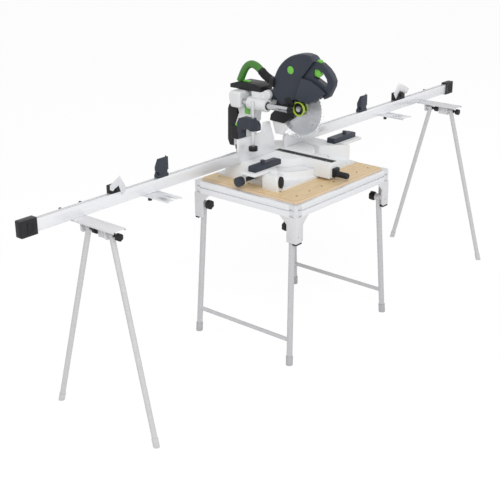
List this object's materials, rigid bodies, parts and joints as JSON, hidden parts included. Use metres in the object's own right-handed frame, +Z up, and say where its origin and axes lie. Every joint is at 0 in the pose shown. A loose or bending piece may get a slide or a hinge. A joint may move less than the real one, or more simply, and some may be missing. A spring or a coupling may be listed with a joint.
{
  "type": "miter saw stand",
  "caption": "Folding work table with a wooden top that carries a sliding miter saw, with long extension rails to both sides on folding trestles, flip stops and angle stops.",
  "frame": {"origin": "bottom centre of the bounding box, on the floor", "axes": "+X along the rails to the user's right, +Y from the user to the back, +Z up"},
  "size_m": [3.235, 0.7536, 1.383],
  "materials": {
    "anodised": "satin",
    "connector": "satin",
    "wood": "satin",
    "bracket_paint": "satin",
    "leg_tube": "satin",
    "black_plastic": "matte",
    "charcoal": "matte",
    "slate": "satin",
    "sheet_steel": "brushed",
    "steel": "brushed",
    "casting": "satin",
    "rod_steel": "polished",
    "blade_steel": "brushed",
    "green": "satin",
    "clear_guard": "gloss"
  },
  "bodies": {
    "stand": {"frame_profiles": "anodised", "corner_connectors": "connector", "work_top": "wood", "leg_brackets": "bracket_paint", "bracket_plugs": "black_plastic", "left_rail": "anodised", "right_rail": "anodised", "rail_end_caps": "charcoal", "rail_couplers": "steel", "trestle_heads": "sheet_steel", "saw_base": "casting", "saw_fence": "casting", "clamp_arm": "black_plastic", "fasteners": "black_plastic"},
    "left_legs": {"left_leg_frame": "leg_tube", "left_leg_feet": "charcoal"},
    "right_legs": {"right_leg_frame": "leg_tube", "right_leg_feet": "charcoal"},
    "turntable": {"turntable": "casting", "kerf_insert": "black_plastic", "mitre_lever": "black_plastic"},
    "left_extension": {"left_extension": "casting", "left_clamp_block": "black_plastic"},
    "right_extension": {"right_extension": "casting", "right_clamp_block": "black_plastic"},
    "column": {"bevel_column": "casting", "column_covers": "black_plastic", "guide_rods": "rod_steel"},
    "carriage": {"carriage": "casting", "dust_port_cover": "black_plastic", "dust_hose": "green"},
    "head": {"blade_guard": "slate", "motor_housing": "slate", "saw_handle": "slate"},
    "trestle_leg_left_front": {"trestle_leg_left_front": "leg_tube"},
    "trestle_leg_left_rear": {"trestle_leg_left_rear": "leg_tube"},
    "trestle_leg_right_front": {"trestle_leg_right_front": "leg_tube"},
    "trestle_leg_right_rear": {"trestle_leg_right_rear": "leg_tube"},
    "leg_knob_left_front": {"leg_knob_left_front": "black_plastic"},
    "leg_knob_left_rear": {"leg_knob_left_rear": "black_plastic"},
    "leg_knob_right_front": {"leg_knob_right_front": "black_plastic"},
    "leg_knob_right_rear": {"leg_knob_right_rear": "black_plastic"},
    "trestle_knob_left_front": {"trestle_knob_left_front": "black_plastic"},
    "trestle_knob_left_rear": {"trestle_knob_left_rear": "black_plastic"},
    "trestle_knob_right_front": {"trestle_knob_right_front": "black_plastic"},
    "trestle_knob_right_rear": {"trestle_knob_right_rear": "black_plastic"},
    "left_stop_carrier": {"left_stop_carrier": "slate"},
    "left_stop_flap": {"left_stop_flap": "slate"},
    "right_stop_carrier": {"right_stop_carrier": "slate"},
    "right_stop_flap": {"right_stop_flap": "slate"},
    "left_angle_stop": {"left_angle_stop": "sheet_steel"},
    "right_angle_stop": {"right_angle_stop": "sheet_steel"},
    "left_side_support": {"left_side_support": "sheet_steel"},
    "right_side_support": {"right_side_support": "sheet_steel"},
    "clamp_spindle": {"clamp_spindle": "casting"},
    "bevel_knob": {"bevel_knob": "black_plastic"},
    "trigger": {"trigger": "green"},
    "lock_button": {"lock_button": "green"},
    "saw_blade": {"saw_blade": "blade_steel"},
    "lower_guard": {"lower_guard": "clear_guard"}
  },
  "joints": [
    {"name": "left_leg_fold", "type": "hinge", "parent": "stand", "child": "left_legs", "pos_m": [-0.4135, -0.03922, 0.674], "axis": [0, -1, 0], "range_deg": [0, 93.5]},
    {"name": "right_leg_fold", "type": "hinge", "parent": "stand", "child": "right_legs", "pos_m": [0.2785, -0.03922, 0.641], "axis": [0, 1, 0], "range_deg": [0, 93.7]},
    {"name": "leg_knob_left_front_turn", "type": "hinge", "parent": "stand", "child": "leg_knob_left_front", "pos_m": [-0.4135, -0.28742, 0.674], "axis": [0, 1, 0], "continuous": true},
    {"name": "trestle_leg_left_front_fold", "type": "hinge", "parent": "stand", "child": "trestle_leg_left_front", "pos_m": [-1.3175, -0.11842, 0.858], "axis": [0, -1, 0], "range_deg": [0, 92.8]},
    {"name": "trestle_knob_left_front_turn", "type": "hinge", "parent": "stand", "child": "trestle_knob_left_front", "pos_m": [-1.3175, -0.15522, 0.858], "axis": [0, 1, 0], "continuous": true},
    {"name": "leg_knob_left_rear_turn", "type": "hinge", "parent": "stand", "child": "leg_knob_left_rear", "pos_m": [-0.4135, 0.20898, 0.674], "axis": [0, 1, 0], "continuous": true},
    {"name": "trestle_leg_left_rear_fold", "type": "hinge", "parent": "stand", "child": "trestle_leg_left_rear", "pos_m": [-1.3175, 0.01678, 0.858], "axis": [0, -1, 0], "range_deg": [0, 92.8]},
    {"name": "trestle_knob_left_rear_turn", "type": "hinge", "parent": "stand", "child": "trestle_knob_left_rear", "pos_m": [-1.3175, -0.01722, 0.858], "axis": [0, 1, 0], "continuous": true},
    {"name": "leg_knob_right_front_turn", "type": "hinge", "parent": "stand", "child": "leg_knob_right_front", "pos_m": [0.2785, -0.28742, 0.641], "axis": [0, 1, 0], "continuous": true},
    {"name": "trestle_leg_right_front_fold", "type": "hinge", "parent": "stand", "child": "trestle_leg_right_front", "pos_m": [1.2835, -0.11842, 0.858], "axis": [0, 1, 0], "range_deg": [0, 90]},
    {"name": "trestle_knob_right_front_turn", "type": "hinge", "parent": "stand", "child": "trestle_knob_right_front", "pos_m": [1.2835, -0.15522, 0.858], "axis": [0, 1, 0], "continuous": true},
    {"name": "leg_knob_right_rear_turn", "type": "hinge", "parent": "stand", "child": "leg_knob_right_rear", "pos_m": [0.2785, 0.20898, 0.641], "axis": [0, 1, 0], "continuous": true},
    {"name": "trestle_leg_right_rear_fold", "type": "hinge", "parent": "stand", "child": "trestle_leg_right_rear", "pos_m": [1.2835, 0.01678, 0.858], "axis": [0, 1, 0], "range_deg": [0, 90]},
    {"name": "trestle_knob_right_rear_turn", "type": "hinge", "parent": "stand", "child": "trestle_knob_right_rear", "pos_m": [1.2835, -0.01722, 0.858], "axis": [0, 1, 0], "continuous": true},
    {"name": "left_stop_slide", "type": "slide", "parent": "stand", "child": "left_stop_carrier", "axis": [1, 0, 0], "range_m": [-0.1, 0.1]},
    {"name": "left_stop_flip", "type": "hinge", "parent": "left_stop_carrier", "child": "left_stop_flap", "pos_m": [-0.8355, 0.08878, 0.964], "axis": [-1, 0, 0], "range_deg": [0, 90]},
    {"name": "left_angle_slide", "type": "slide", "parent": "stand", "child": "left_angle_stop", "axis": [1, 0, 0], "range_m": [-0.08, 0.08]},
    {"name": "left_support_slide", "type": "slide", "parent": "stand", "child": "left_side_support", "axis": [1, 0, 0], "range_m": [-0.06, 0.06]},
    {"name": "left_extension_slide", "type": "slide", "parent": "stand", "child": "left_extension", "axis": [-1, 0, 0], "range_m": [0, 0.06]},
    {"name": "right_stop_slide", "type": "slide", "parent": "stand", "child": "right_stop_carrier", "axis": [1, 0, 0], "range_m": [-0.1, 0.1]},
    {"name": "right_stop_flip", "type": "hinge", "parent": "right_stop_carrier", "child": "right_stop_flap", "pos_m": [0.681, 0.08878, 0.964], "axis": [-1, 0, 0], "range_deg": [0, 90]},
    {"name": "right_angle_slide", "type": "slide", "parent": "stand", "child": "right_angle_stop", "axis": [1, 0, 0], "range_m": [-0.08, 0.08]},
    {"name": "right_support_slide", "type": "slide", "parent": "stand", "child": "right_side_support", "axis": [1, 0, 0], "range_m": [-0.06, 0.06]},
    {"name": "right_extension_slide", "type": "slide", "parent": "stand", "child": "right_extension", "axis": [1, 0, 0], "range_m": [0, 0.06]},
    {"name": "clamp_press", "type": "slide", "parent": "stand", "child": "clamp_spindle", "axis": [0, 0, -1], "range_m": [0, 0.055]},
    {"name": "mitre_turn", "type": "hinge", "parent": "stand", "child": "turntable", "pos_m": [-0.0375, 0.06978, 0.889], "axis": [0, 0, 1], "range_deg": [-45, 45]},
    {"name": "bevel_tilt", "type": "hinge", "parent": "turntable", "child": "column", "pos_m": [-0.0375, 0.29078, 0.889], "axis": [0, 1, 0], "range_deg": [-4, 12]},
    {"name": "bevel_knob_turn", "type": "hinge", "parent": "column", "child": "bevel_knob", "pos_m": [-0.0925, 0.19078, 1.005], "axis": [0, 1, 0], "continuous": true},
    {"name": "head_slide", "type": "slide", "parent": "column", "child": "carriage", "axis": [0, -1, 0], "range_m": [0, 0.11]},
    {"name": "chop", "type": "hinge", "parent": "carriage", "child": "head", "pos_m": [-0.0375, 0.12578, 1.16], "axis": [1, 0, 0], "range_deg": [0, 38], "stiffness_Nm_per_rad": 18, "springref_deg": -51.57, "deforming": ["dust_hose"]},
    {"name": "blade_spin", "type": "hinge", "parent": "head", "child": "saw_blade", "pos_m": [-0.0375, -0.05922, 1.115], "axis": [1, 0, 0], "continuous": true},
    {"name": "lower_guard_turn", "type": "hinge", "parent": "head", "child": "lower_guard", "pos_m": [-0.0375, -0.05922, 1.115], "axis": [1, 0, 0], "range_deg": [0, 95]},
    {"name": "trigger_pull", "type": "hinge", "parent": "head", "child": "trigger", "pos_m": [-0.0375, -0.13922, 1.32], "axis": [-1, 0, 0], "range_deg": [0, 6], "stiffness_Nm_per_rad": 1, "springref_deg": -8.59},
    {"name": "lock_press", "type": "slide", "parent": "head", "child": "lock_button", "axis": [0, 0, -1], "range_m": [0, 0.003], "stiffness_N_per_m": 500, "springref_m": -0.002}
  ],
  "couplings": [
    {"joint": "lower_guard_turn", "follows": "chop", "ratio": 2.5}
  ]
}
